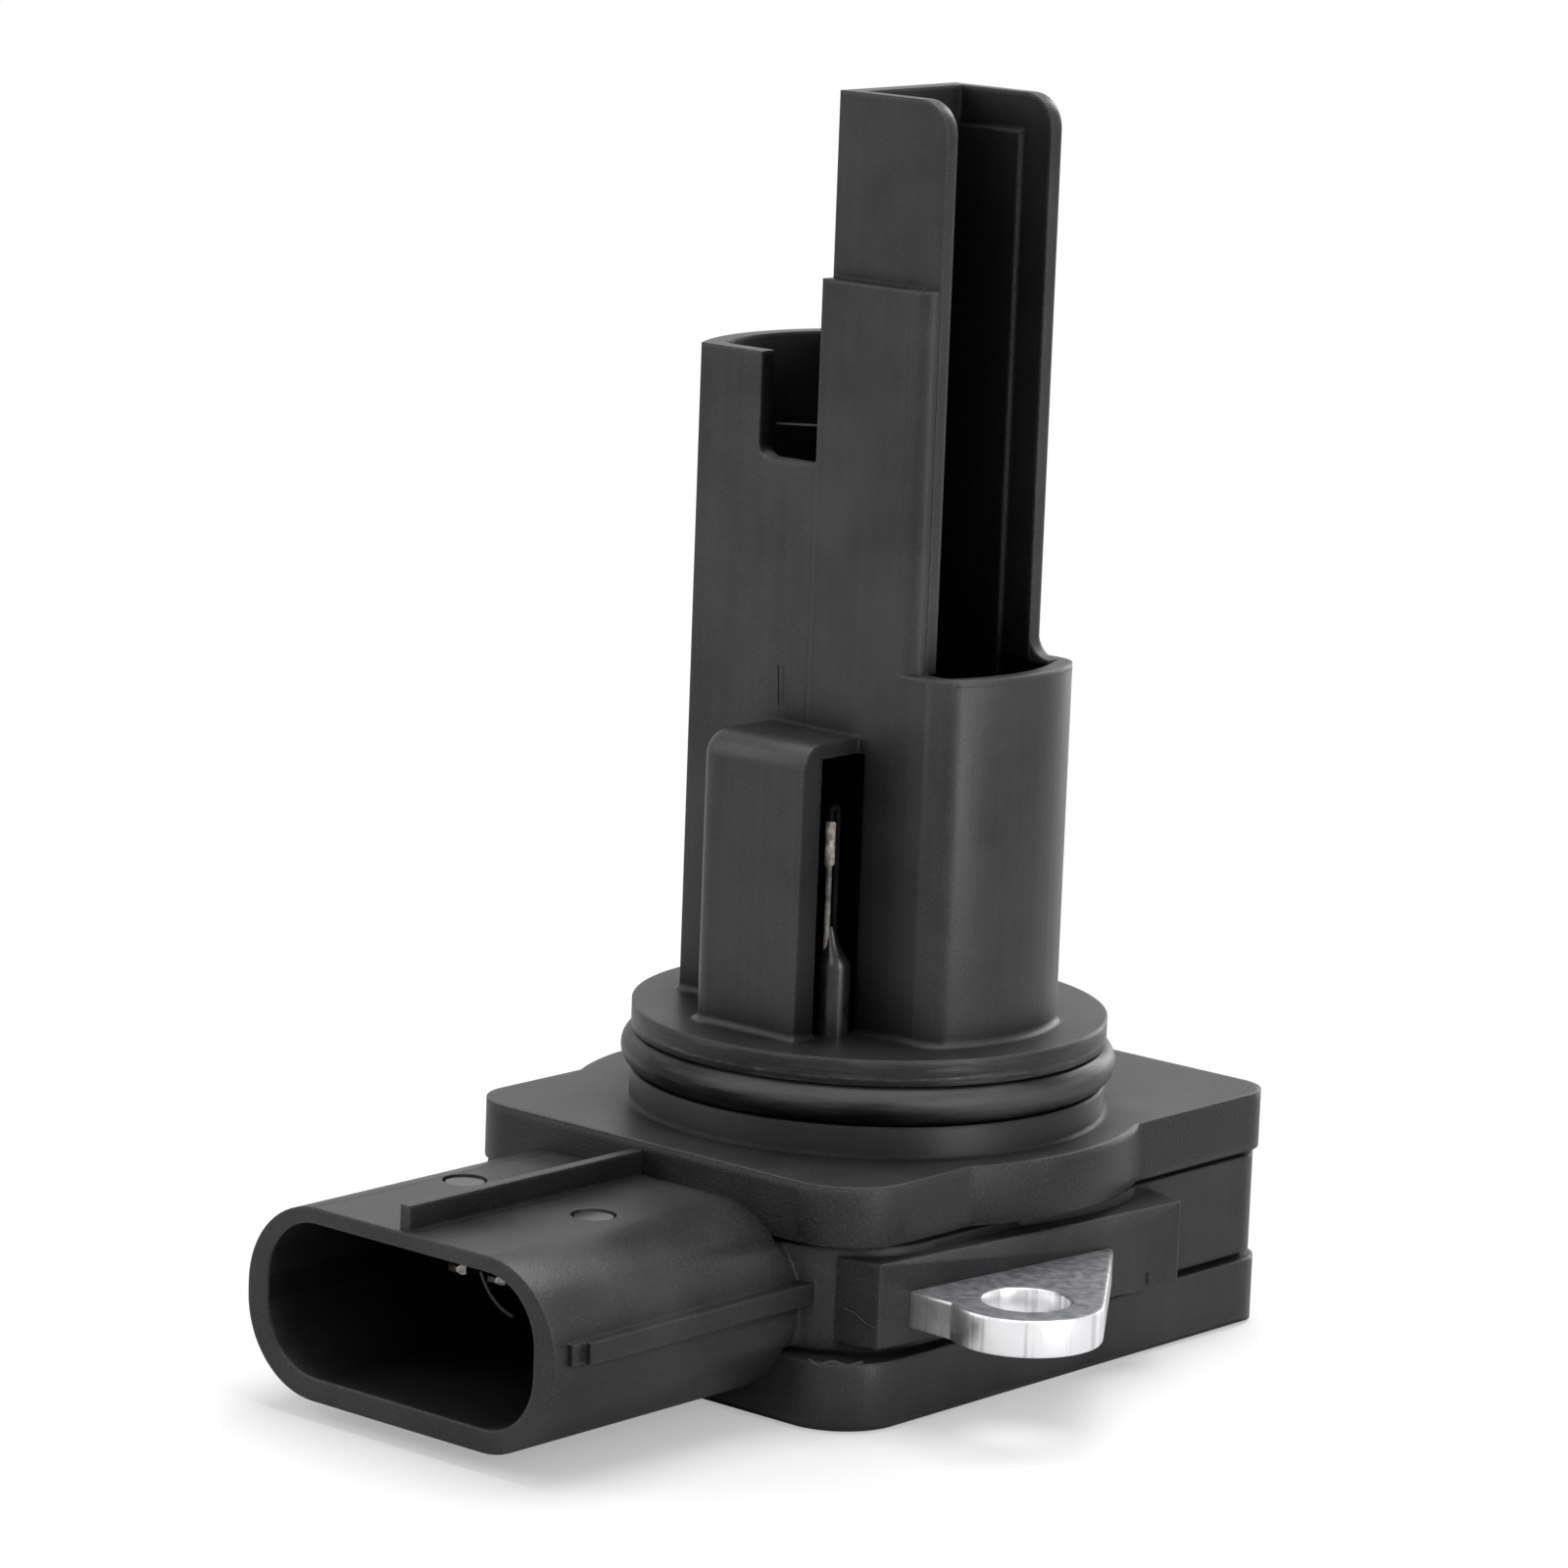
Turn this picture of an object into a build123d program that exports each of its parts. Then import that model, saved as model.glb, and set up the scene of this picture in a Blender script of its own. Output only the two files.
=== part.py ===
from build123d import *
import math
import os

os.makedirs("parts", exist_ok=True)

# Half width of the band in which an edge is picked, and overrun of a cut
pick = 0.01
overrun = 1.0

# Plan outline shared by the cover, the middle body and the flange plate
plate_centre_x = -0.7
plate_centre_y = 1.78
plate_length_x = 30.34
plate_length_y = 38.93
large_corner = 4.4
body_corner = 7.3
small_corner = 1.6
bulge_radius = 17.0
body_inset = 0.3
body_bulge_radius = 15.8
body_bulge_y = 2.6
body_bulge_height = 1.4
seam_inset = 1.2
seam_height = 0.42

# Heights of the stack, from the underside of the cover upwards
cover_height = 4.05
cover_floor = 1.5
cover_wall = 1.35
cover_foot_edge = 0.5
cover_rib_height = 0.9
cover_rib_play = 0.15
body_height = 5.93
flange_thickness = 3.45
body_bottom = cover_height + seam_height
body_top = body_bottom + body_height
flange_bottom = body_top + seam_height
flange_top = flange_bottom + flange_thickness

# Electronics chamber
chamber_side = 3.0
chamber_length_x = plate_length_x - 2 * chamber_side
chamber_length_y = plate_length_y - 2 * chamber_side
chamber_corner = 2.0

# Spigot and its ring
spigot_radius = 14.0
spigot_height = 5.7
groove_radius = 12.27
ring_section = 2.3
groove_width = ring_section + 0.1
ring_facets = 12
lip_thickness = 1.5
lip_top = flange_top + spigot_height
groove_top = lip_top - lip_thickness

# Pillar
pillar_radius = 11.22
pocket_radius = 11.45
flat_half = 6.0
pocket_flat_half = 5.78
duct_edge_radius = 2.0
wall = 1.1
partition_half = 0.6
round_rim = 41.3
pocket_rim = 58.5
step_height = 63.23
pillar_top = 73.9
duct_floor = 22.6
turn_height = 30.5
channel_end = 7.44
channel_half = 5.09
channel_wall = 0.9
channel_corner = 2.0
step_end = 6.2
panel_end = 5.3
panel_half = 3.95
panel_below_top = 2.2
thick_side = 3.0
thick_side_top = 38.5
notch_left = -5.2
notch_depth = 6.1
notch_corner = 0.8

# Shield over the air temperature sensor
shield_left = -4.7
shield_right = 3.4
shield_outer = -10.8
shield_wall = 1.7
shield_side_wall = 1.2
shield_roof = 0.9
shield_top = 37.2
shield_round = 1.6
shield_side_round = 1.4
recess_edge = 3.95
recess_depth = 1.8
recess_top = shield_top - shield_roof
foot_round = 0.4

# Connector socket
socket_centre_x = -1.97
socket_half_x = 10.29
socket_bottom = 2.54
socket_top = 11.44
socket_corner = 3.7
socket_wall_side = 1.55
socket_wall_top = 0.9
socket_wall_bottom = 1.35
socket_front = -36.97
socket_depth = 17.0
socket_neck = 2.0
rib_height = 1.45
rib_width = 0.7
rib_setback = 0.3
rail_bottom = 7.1
rail_top = 8.3
rail_reach = 0.8
rail_setback = 2.0
rail_lead_in = 1.0
rail_lead_reach = 0.4
mark_radius = 1.3
mark_depth = 0.3
mark_x = -2.47
mark_spread = 5.0
mark_y = -26.2

# Aluminium mounting plate
mount_bottom = 5.8
mount_thickness = 2.2
mount_half_x = 13.2
mount_front = -12.0
mount_rear = 16.2
ear_hole_x = 20.1
ear_hole_y = -9.2
ear_hole_radius = 2.5
ear_radius = 4.4
ear_side_y = -12.9
ear_lean = 37.0
ear_root_x = 11.0
ear_root_y = 2.9
ear_face_x = 16.7

# Side blocks that carry the ears
block_bottom = 5.0
block_top = 9.9

# Circuit board and the parts on it
board_bond = 0.12
bond_margin = 0.4
board_thickness = 0.8
board_half_x = 9.6
board_front = -11.6
board_rear = 13.4
chip_side = 6.4
chip_height = 1.25
chip_x = -5.0
chip_y = 3.5
capacitor_size = (2.0, 1.25, 1.2)
capacitor_x = -6.5
capacitor_y = -3.6
capacitor_pitch = 3.9
resistor_size = (1.6, 0.85, 0.5)
resistor_x = 0.8
resistor_y = 6.8
resistor_pitch = 3.8

# Terminals
terminal_count = 5
terminal_pitch = 3.1
terminal_width = 1.5
terminal_thickness = 0.64
terminal_tip = -26.3
terminal_taper = 0.4
terminal_jog = -13.9
terminal_foot = 2.2

# Sensing plate and the air temperature sensor
substrate_x = 3.6
substrate_thickness = 0.6
substrate_width = 5.0
substrate_top = 38.0
substrate_corner = 0.8
substrate_bead = 1.0
substrate_bead_height = 0.7
slot_clearance = 0.1
sense_chip_side = 2.6
sense_chip_height = 0.4
sense_chip_drop = 3.0
bead_x = 2.85
bead_y = -7.5
lead_radius = 0.18
lead_bend = 0.3
lead_loop = 0.8
return_x = 2.8
return_y = -6.85
bead_radius = 0.3
bead_bottom = 29.8
bead_top = 32.4
sleeve_x = 3.3
sleeve_y = -7.15
sleeve_radius = 0.95
sleeve_shoulder = 24.2
sleeve_taper = 2.0
sleeve_tip_radius = 0.63

board_bottom = mount_bottom + mount_thickness + board_bond
board_top = board_bottom + board_thickness
plate_front = plate_centre_y - plate_length_y / 2
socket_mid = (socket_bottom + socket_top) / 2
socket_floor = socket_front + socket_depth


def opposite(points):
    """Points turned half a turn about the centre of the flange bulges."""
    return [(2 * plate_centre_x - x, -y) for x, y in points]


def outline(inset, corner):
    """Plan outline with two large and two small corners."""
    with BuildSketch() as plan:
        with Locations((plate_centre_x, plate_centre_y)):
            Rectangle(plate_length_x - 2 * inset, plate_length_y - 2 * inset)
        wide = plan.vertices().filter_by(
            lambda v: (v.X - plate_centre_x) * (v.Y - plate_centre_y) < 0
        )
        fillet(wide, radius=corner - inset)
        tight = plan.vertices().filter_by(
            lambda v: (v.X - plate_centre_x) * (v.Y - plate_centre_y) > 0
        )
        fillet(tight, radius=small_corner - inset)
    return plan.sketch


def chamber(shrink):
    """Plan of the electronics chamber, drawn in by shrink on every side."""
    with BuildSketch() as plan:
        with Locations((plate_centre_x, plate_centre_y)):
            RectangleRounded(
                chamber_length_x - 2 * shrink,
                chamber_length_y - 2 * shrink,
                chamber_corner - shrink / 2,
            )
    return plan.sketch


def rounded_end(radius, half, side, split):
    """One side of a double-flatted round, cut off at x = split."""
    span = radius + abs(split)
    with BuildSketch() as plan:
        Circle(radius)
        with Locations((split + side * span / 2, 0)):
            Rectangle(span, 2 * half, mode=Mode.INTERSECT)
    return plan.sketch


def duct_end(radius, half, split, edge):
    """Rounded end on the duct side, with its two upright edges eased."""
    with BuildSketch() as plan:
        add(rounded_end(radius, half, 1, split))
        fillet(plan.vertices().group_by(Axis.X)[-1], radius=edge)
    return plan.sketch


def box_between(x0, x1, y0, y1):
    """Rectangle given by its limits."""
    with BuildSketch() as plan:
        with Locations(((x0 + x1) / 2, (y0 + y1) / 2)):
            Rectangle(x1 - x0, y1 - y0)
    return plan.sketch


# Flange plate, spigot and pillar in one moulding
with BuildPart() as upper_housing:
    with BuildSketch(Plane.XY.offset(flange_bottom)):
        add(outline(0, large_corner))
        with Locations((plate_centre_x, 0)):
            Circle(bulge_radius)
    extrude(amount=flange_thickness)
    with BuildSketch(Plane.XY.offset(flange_top)):
        Circle(spigot_radius)
    extrude(amount=spigot_height)
    with BuildSketch(Plane.XY.offset(groove_top - groove_width)):
        Circle(spigot_radius + overrun)
        Circle(groove_radius, mode=Mode.SUBTRACT)
    extrude(amount=groove_width, mode=Mode.SUBTRACT)
    # Pillar: pocket side, then duct side, then the tall channel
    with BuildSketch(Plane.XY.offset(lip_top)):
        add(rounded_end(pocket_radius, pocket_flat_half, -1, 0))
    extrude(amount=pocket_rim - lip_top)
    with BuildSketch(Plane.XY.offset(lip_top)):
        add(duct_end(pillar_radius, flat_half, -partition_half, duct_edge_radius))
    extrude(amount=round_rim - lip_top)
    with BuildSketch(Plane.XY.offset(round_rim)):
        add(box_between(-partition_half, step_end, -flat_half, flat_half))
    extrude(amount=step_height - round_rim)
    with BuildSketch(Plane.XY.offset(round_rim)):
        add(box_between(-partition_half, channel_end, -channel_half, channel_half))
    extrude(amount=pillar_top - round_rim)
    # Shield wall and its roof
    with BuildSketch(Plane.YZ.offset(shield_left)) as shield_side:
        add(box_between(shield_outer, 0, lip_top, shield_top))
        outer_top = shield_side.vertices().group_by(Axis.Y)[-1].sort_by(Axis.X)[0]
        fillet(outer_top, radius=shield_round)
    extrude(amount=shield_right - shield_left)
    shield_edge = (
        upper_housing.edges()
        .filter_by(Axis.Y)
        .filter_by_position(Axis.X, shield_left - pick, shield_left + pick)
        .filter_by_position(Axis.Z, shield_top - pick, shield_top + pick)
    )
    fillet(shield_edge, radius=shield_side_round)
    # Blend where the pillar and the shield stand on the lip
    foot_edges = (
        upper_housing.edges()
        .filter_by_position(Axis.Z, lip_top - pick, lip_top + pick)
        .filter_by(lambda edge: edge.length < spigot_radius * math.pi)
    )
    fillet(foot_edges, radius=foot_round)
    # Hollow insides of both legs of the duct
    with BuildSketch(Plane.XY.offset(duct_floor)):
        add(rounded_end(pocket_radius - wall, pocket_flat_half - wall, -1, -partition_half))
    extrude(amount=pillar_top - duct_floor, mode=Mode.SUBTRACT)
    with BuildSketch(Plane.XY.offset(duct_floor)):
        inner_edge = duct_edge_radius - wall
        add(duct_end(pillar_radius - wall, flat_half - wall, partition_half, inner_edge))
    extrude(amount=round_rim - duct_floor, mode=Mode.SUBTRACT)
    with BuildSketch(Plane.XY.offset(round_rim)):
        inner_half = channel_half - channel_wall
        add(box_between(partition_half, 2 * channel_end, -inner_half, inner_half))
    extrude(amount=pillar_top - round_rim, mode=Mode.SUBTRACT)
    # Thick side behind the temperature sensor
    with BuildSketch(Plane.XY.offset(duct_floor)):
        add(
            box_between(
                1.3 * wall - pocket_radius,
                channel_end,
                0.8 * wall - flat_half,
                thick_side - flat_half,
            )
        )
    extrude(amount=thick_side_top - duct_floor)
    # Raised panel on the inner face of the far wall
    with BuildSketch(Plane.XY.offset(turn_height)):
        add(box_between(0, panel_end, panel_half, channel_half - channel_wall / 8))
    extrude(amount=pillar_top - panel_below_top - turn_height)
    # Turn between the two legs, under the partition
    with BuildSketch(Plane.XY.offset(duct_floor)):
        add(
            box_between(
                -partition_half - pick,
                partition_half + pick,
                thick_side - flat_half,
                pocket_flat_half - wall,
            )
        )
    extrude(amount=turn_height - duct_floor, mode=Mode.SUBTRACT)
    # Notch in the near wall of the pocket
    with BuildSketch(Plane.XZ.offset(pocket_flat_half - wall - overrun / 2)) as notch:
        add(box_between(notch_left, -partition_half, pocket_rim - notch_depth, pocket_rim + overrun))
        fillet(notch.vertices().group_by(Axis.Y)[0], radius=notch_corner)
    extrude(amount=wall + overrun, mode=Mode.SUBTRACT)
    # Passage behind the shield, with the recess beside it
    with BuildSketch(Plane.XY.offset(lip_top)):
        add(
            box_between(
                shield_left + shield_side_wall,
                recess_edge,
                shield_outer + shield_wall,
                recess_depth - flat_half,
            )
        )
    extrude(amount=recess_top - lip_top, mode=Mode.SUBTRACT)
    # Rounded corners at the open end of the channel walls
    channel_corners = (
        upper_housing.edges()
        .filter_by(Axis.Y)
        .filter_by_position(Axis.X, channel_end - pick, channel_end + pick)
        .filter_by_position(Axis.Z, pillar_top - pick, pillar_top + pick)
    )
    fillet(channel_corners, radius=channel_corner)
    # Slot for the sensing plate and bores for the two sensor leads
    with BuildSketch(Plane.XY.offset(flange_bottom)):
        with Locations((substrate_x, 0)):
            Rectangle(
                substrate_thickness + 2 * slot_clearance,
                substrate_width + 2 * slot_clearance,
            )
        with Locations((bead_x, bead_y), (return_x, return_y)):
            Circle(lead_radius)
    extrude(amount=duct_floor - flange_bottom, mode=Mode.SUBTRACT)

# Rubber sealing ring
with BuildPart() as o_ring:
    with BuildSketch(Plane.XZ):
        with Locations((groove_radius + ring_section / 2, groove_top - groove_width / 2)):
            RegularPolygon(ring_section / 2, ring_facets)
    revolve(axis=Axis.Z)

# Aluminium plate with two ears
tangent = math.radians(ear_lean)
ear_web = [
    (ear_root_x, ear_side_y),
    (ear_hole_x - 1, ear_side_y),
    (ear_hole_x, ear_hole_y),
    (ear_hole_x + ear_radius * math.cos(tangent), ear_hole_y + ear_radius * math.sin(tangent)),
    (ear_face_x, ear_root_y),
    (ear_root_x, ear_root_y + 4),
]
ear_centre = [(ear_hole_x, ear_hole_y)]
with BuildPart() as mounting_plate:
    with BuildSketch(Plane.XY.offset(mount_bottom)):
        add(
            box_between(
                plate_centre_x - mount_half_x,
                plate_centre_x + mount_half_x,
                mount_front,
                mount_rear,
            )
        )
        for web in (ear_web, opposite(ear_web)):
            with BuildLine():
                Polyline(*web, close=True)
            make_face()
        with Locations(*ear_centre, *opposite(ear_centre)):
            Circle(ear_radius)
            Circle(ear_hole_radius, mode=Mode.SUBTRACT)
    extrude(amount=mount_thickness)

# Five flat terminals, each with a step up to its pad on the board
blade_low = socket_mid - terminal_thickness / 2
blade_high = blade_low + terminal_thickness
foot_high = board_top + terminal_thickness
terminal_side = [
    (terminal_tip, blade_low),
    (terminal_jog + terminal_thickness, blade_low),
    (terminal_jog + terminal_thickness, board_top),
    (board_front + terminal_foot, board_top),
    (board_front + terminal_foot, foot_high),
    (terminal_jog, foot_high),
    (terminal_jog, blade_high),
    (terminal_tip, blade_high),
]
terminals = []
for index in range(terminal_count):
    terminal_x = socket_centre_x + (index - (terminal_count - 1) / 2) * terminal_pitch
    with BuildPart() as terminal:
        with BuildSketch(Plane.YZ.offset(terminal_x - terminal_width / 2)):
            with BuildLine():
                Polyline(*terminal_side, close=True)
            make_face()
        extrude(amount=terminal_width)
        for direction, length in ((Axis.Z, terminal_taper), (Axis.X, terminal_thickness / 4)):
            tip_edges = (
                terminal.edges()
                .filter_by_position(Axis.Y, terminal_tip - pick, terminal_tip + pick)
                .filter_by(direction)
            )
            chamfer(tip_edges, length=length)
    terminal.part.label = f"terminal_{index + 1}"
    terminals.append(terminal.part)

# Middle body with the connector socket and the two side blocks
side_block = [(10.6, -16.0), (14.45, -15.3), (16.97, 8.8), (13.0, 10.0), (12.2, -14.0)]
shroud_height = socket_top + socket_wall_top - socket_bottom + socket_wall_bottom
shroud_mid = socket_bottom - socket_wall_bottom + shroud_height / 2
shroud_half = socket_half_x + socket_wall_side
shroud_top = shroud_mid + shroud_height / 2
with BuildPart() as connector_body:
    with BuildSketch(Plane.XY.offset(body_bottom)):
        add(outline(body_inset, body_corner))
    extrude(amount=body_height)
    with BuildSketch(Plane.XY.offset(body_top - body_bulge_height)):
        with Locations((plate_centre_x, body_bulge_y)):
            Circle(body_bulge_radius)
    extrude(amount=body_bulge_height)
    with BuildSketch(Plane.XY.offset(block_bottom)):
        for block in (side_block, opposite(side_block)):
            with BuildLine():
                Polyline(*block, close=True)
            make_face()
    extrude(amount=block_top - block_bottom)
    with BuildSketch(Plane.XZ.offset(-plate_front)):
        with Locations((socket_centre_x, shroud_mid)):
            RectangleRounded(2 * shroud_half, shroud_height, socket_corner + socket_wall_side)
    extrude(amount=plate_front - socket_front)
    with BuildSketch(Plane.XZ.offset(-plate_front - socket_neck)):
        with Locations((socket_centre_x, shroud_mid)):
            RectangleRounded(2 * shroud_half, shroud_height, socket_corner + socket_wall_side)
        with Locations((socket_centre_x, (body_bottom + body_top) / 2)):
            Rectangle(2 * shroud_half, body_height, mode=Mode.INTERSECT)
    extrude(amount=2 * socket_neck)
    # Rib along the top
    with BuildSketch(Plane.XZ.offset(-plate_front)):
        add(
            box_between(
                socket_centre_x - rib_width / 2,
                socket_centre_x + rib_width / 2,
                shroud_top - socket_wall_top / 2,
                shroud_top + rib_height,
            )
        )
    extrude(amount=plate_front - socket_front - rib_setback)
    # Rail along each flank, with a lower lead-in at its front
    for reach, setback in ((rail_reach, rail_setback), (rail_lead_reach, rail_lead_in)):
        with BuildSketch(Plane.XZ.offset(-plate_front - socket_neck)):
            with Locations((socket_centre_x, (rail_bottom + rail_top) / 2)):
                Rectangle(2 * (shroud_half + reach), rail_top - rail_bottom)
        extrude(amount=plate_front + socket_neck - socket_front - setback)
    # Socket, chamber and ejector marks
    with BuildSketch(Plane.XZ.offset(-socket_floor)):
        with Locations((socket_centre_x, socket_mid)):
            RectangleRounded(2 * socket_half_x, socket_top - socket_bottom, socket_corner)
    extrude(amount=socket_depth + overrun, mode=Mode.SUBTRACT)
    with BuildSketch(Plane.XY.offset(body_bottom)):
        add(chamber(0))
    extrude(amount=body_height, mode=Mode.SUBTRACT)
    with BuildSketch(Plane.XY.offset(shroud_top - mark_depth)):
        with Locations((mark_x - mark_spread, mark_y), (mark_x + mark_spread, mark_y)):
            Circle(mark_radius)
    extrude(amount=overrun, mode=Mode.SUBTRACT)
    add(mounting_plate.part, mode=Mode.SUBTRACT)
    for blade in terminals:
        add(blade, mode=Mode.SUBTRACT)

# Bottom cover with a locating rib inside the chamber
with BuildPart() as bottom_cover:
    with BuildSketch():
        add(outline(0, large_corner))
    extrude(amount=cover_height)
    foot_edges = bottom_cover.edges().filter_by_position(Axis.Z, -pick, pick)
    chamfer(foot_edges, length=cover_foot_edge)
    with BuildSketch(Plane.XY.offset(cover_height)):
        add(chamber(cover_rib_play))
    extrude(amount=seam_height + cover_rib_height)
    with BuildSketch(Plane.XY.offset(cover_floor)):
        add(chamber(cover_wall))
    extrude(amount=body_bottom + overrun, mode=Mode.SUBTRACT)

# Sealing beads in the two seams
with BuildPart() as cover_seal:
    with BuildSketch(Plane.XY.offset(cover_height)):
        add(outline(seam_inset, body_corner))
        add(chamber(0), mode=Mode.SUBTRACT)
    extrude(amount=seam_height)

with BuildPart() as flange_seal:
    with BuildSketch(Plane.XY.offset(body_top)):
        add(outline(seam_inset, body_corner))
        add(chamber(0), mode=Mode.SUBTRACT)
    extrude(amount=seam_height)

# Circuit board on its bonding layer
with BuildPart() as board_adhesive:
    with BuildSketch(Plane.XY.offset(mount_bottom + mount_thickness)):
        add(
            box_between(
                plate_centre_x - board_half_x + bond_margin,
                plate_centre_x + board_half_x - bond_margin,
                mount_front + bond_margin,
                board_rear - bond_margin,
            )
        )
    extrude(amount=board_bond)

with BuildPart() as circuit_board:
    with BuildSketch(Plane.XY.offset(board_bottom)):
        add(
            box_between(
                plate_centre_x - board_half_x,
                plate_centre_x + board_half_x,
                board_front,
                board_rear,
            )
        )
    extrude(amount=board_thickness)
    # Chip, capacitors, resistors and sensor leads stand on the top face


def on_board(size, x, y):
    """Component body standing on the board."""
    with BuildPart() as component:
        with Locations((x, y, board_top)):
            Box(*size, align=(Align.CENTER, Align.CENTER, Align.MIN))
    return component.part


control_chip = on_board((chip_side, chip_side, chip_height), chip_x, chip_y)
capacitor_1 = on_board(capacitor_size, capacitor_x, capacitor_y)
capacitor_2 = on_board(capacitor_size, capacitor_x + capacitor_pitch, capacitor_y)
resistor_1 = on_board(resistor_size, resistor_x, resistor_y)
resistor_2 = on_board(resistor_size, resistor_x + resistor_pitch, resistor_y)

# Sensing plate with its chip, and the bead that seals it into the slot
with BuildPart() as sensing_substrate:
    with Locations((substrate_x, 0, board_top)):
        Box(
            substrate_thickness,
            substrate_width,
            substrate_top - board_top,
            align=(Align.CENTER, Align.CENTER, Align.MIN),
        )
    top_edges = sensing_substrate.edges().filter_by(Axis.X).group_by(Axis.Z)[-1]
    fillet(top_edges, radius=substrate_corner)

with BuildPart() as sensing_chip:
    sense_chip_x = substrate_x + (substrate_thickness + sense_chip_height) / 2
    with Locations((sense_chip_x, 0, substrate_top - sense_chip_drop)):
        Box(sense_chip_height, sense_chip_side, sense_chip_side)

with BuildPart() as substrate_seal:
    with BuildSketch(Plane.XY.offset(flange_bottom - substrate_bead_height)):
        with Locations((substrate_x, 0)):
            RectangleRounded(
                substrate_thickness + 2 * substrate_bead,
                substrate_width + 2 * substrate_bead,
                0.9 * substrate_bead,
            )
            Rectangle(substrate_thickness, substrate_width, mode=Mode.SUBTRACT)
    extrude(amount=substrate_bead_height)

# Air temperature sensor: bead, two leads and the sleeve round them
with BuildPart() as thermistor_bead:
    with Locations((bead_x, bead_y, bead_bottom)):
        Cylinder(
            bead_radius,
            bead_top - bead_bottom,
            align=(Align.CENTER, Align.CENTER, Align.MIN),
        )
    chamfer(thermistor_bead.edges().filter_by(GeomType.CIRCLE), length=bead_radius / 3)

with BuildPart() as thermistor_lead_1:
    with Locations((bead_x, bead_y, board_top)):
        Cylinder(
            lead_radius,
            bead_bottom - board_top,
            align=(Align.CENTER, Align.CENTER, Align.MIN),
        )

loop_top = bead_top + lead_loop
with BuildPart() as thermistor_lead_2:
    with BuildLine() as return_path:
        Polyline(
            (return_x, return_y, board_top),
            (return_x, return_y, loop_top),
            (bead_x, bead_y, loop_top),
            (bead_x, bead_y, bead_top),
        )
        bends = return_path.vertices().group_by(Axis.Z)[-1]
        fillet(bends, radius=lead_bend)
    with BuildSketch(Plane.XY.offset(board_top)):
        with Locations((return_x, return_y)):
            Circle(lead_radius)
    sweep()

sleeve_top = sleeve_shoulder + sleeve_taper
with BuildPart() as thermistor_sleeve:
    with BuildSketch(Plane.XY.offset(lip_top)):
        with Locations((sleeve_x, sleeve_y)):
            Circle(sleeve_radius)
    extrude(amount=sleeve_shoulder - lip_top)
    with BuildSketch(Plane.XY.offset(sleeve_shoulder)):
        with Locations((sleeve_x, sleeve_y)):
            Circle(sleeve_radius)
    with BuildSketch(Plane.XY.offset(sleeve_top)):
        with Locations(((bead_x + return_x) / 2, (bead_y + return_y) / 2)):
            Circle(sleeve_tip_radius)
    loft()
    with BuildSketch(Plane.XY.offset(lip_top)):
        with Locations((bead_x, bead_y), (return_x, return_y)):
            Circle(lead_radius)
    extrude(amount=sleeve_top - lip_top, mode=Mode.SUBTRACT)

nodes = {
    "upper_housing": upper_housing.part,
    "connector_body": connector_body.part,
    "bottom_cover": bottom_cover.part,
    "mounting_plate": mounting_plate.part,
    "o_ring": o_ring.part,
    "cover_seal": cover_seal.part,
    "flange_seal": flange_seal.part,
    "board_adhesive": board_adhesive.part,
    "circuit_board": circuit_board.part,
    "control_chip": control_chip,
    "capacitor_1": capacitor_1,
    "capacitor_2": capacitor_2,
    "resistor_1": resistor_1,
    "resistor_2": resistor_2,
    "sensing_substrate": sensing_substrate.part,
    "sensing_chip": sensing_chip.part,
    "substrate_seal": substrate_seal.part,
    "thermistor_bead": thermistor_bead.part,
    "thermistor_lead_1": thermistor_lead_1.part,
    "thermistor_lead_2": thermistor_lead_2.part,
    "thermistor_sleeve": thermistor_sleeve.part,
}
for blade in terminals:
    nodes[blade.label] = blade

for node_name, solid in nodes.items():
    solid.label = node_name
    export_step(solid, f"parts/{node_name}.step")
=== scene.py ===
import math

import bpy
from mathutils import Matrix, Vector


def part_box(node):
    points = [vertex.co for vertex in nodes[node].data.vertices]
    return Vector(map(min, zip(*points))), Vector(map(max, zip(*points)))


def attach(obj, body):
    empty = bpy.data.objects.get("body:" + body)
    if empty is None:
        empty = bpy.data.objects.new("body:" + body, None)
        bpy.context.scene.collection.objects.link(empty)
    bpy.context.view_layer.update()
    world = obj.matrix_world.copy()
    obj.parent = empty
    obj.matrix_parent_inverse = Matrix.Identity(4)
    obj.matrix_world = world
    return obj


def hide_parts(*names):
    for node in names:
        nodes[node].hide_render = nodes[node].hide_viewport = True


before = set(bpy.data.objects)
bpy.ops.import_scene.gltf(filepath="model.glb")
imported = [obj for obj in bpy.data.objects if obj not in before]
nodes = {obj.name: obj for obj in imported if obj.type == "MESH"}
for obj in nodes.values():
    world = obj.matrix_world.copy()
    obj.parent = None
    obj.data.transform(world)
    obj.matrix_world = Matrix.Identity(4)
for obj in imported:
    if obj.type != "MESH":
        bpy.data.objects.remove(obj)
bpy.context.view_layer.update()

mm = 0.001

# Camera. Solved from the straight edges of the photograph: a long lens a
# little above the flange, turned to show the socket and the screw ear, and
# rolled by about two degrees.
view_turn = math.radians(40.89)
view_tilt = math.radians(11.18)
view_roll = math.radians(2.14)
view_distance = 382.4 * mm
aim_height = 40.0 * mm
aim_right = 5.52 * mm
aim_up = 6.87 * mm
sensor_width = 36.0
lens_length = 150.75
forward = Vector(
    (
        -math.sin(view_turn) * math.cos(view_tilt),
        math.cos(view_turn) * math.cos(view_tilt),
        -math.sin(view_tilt),
    )
)
level_right = Vector((math.cos(view_turn), math.sin(view_turn), 0))
level_up = level_right.cross(forward)
eye = Vector((0, 0, aim_height)) - forward * view_distance
eye -= level_right * aim_right + level_up * aim_up
rolled_right = level_right * math.cos(view_roll) + level_up * math.sin(view_roll)
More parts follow.
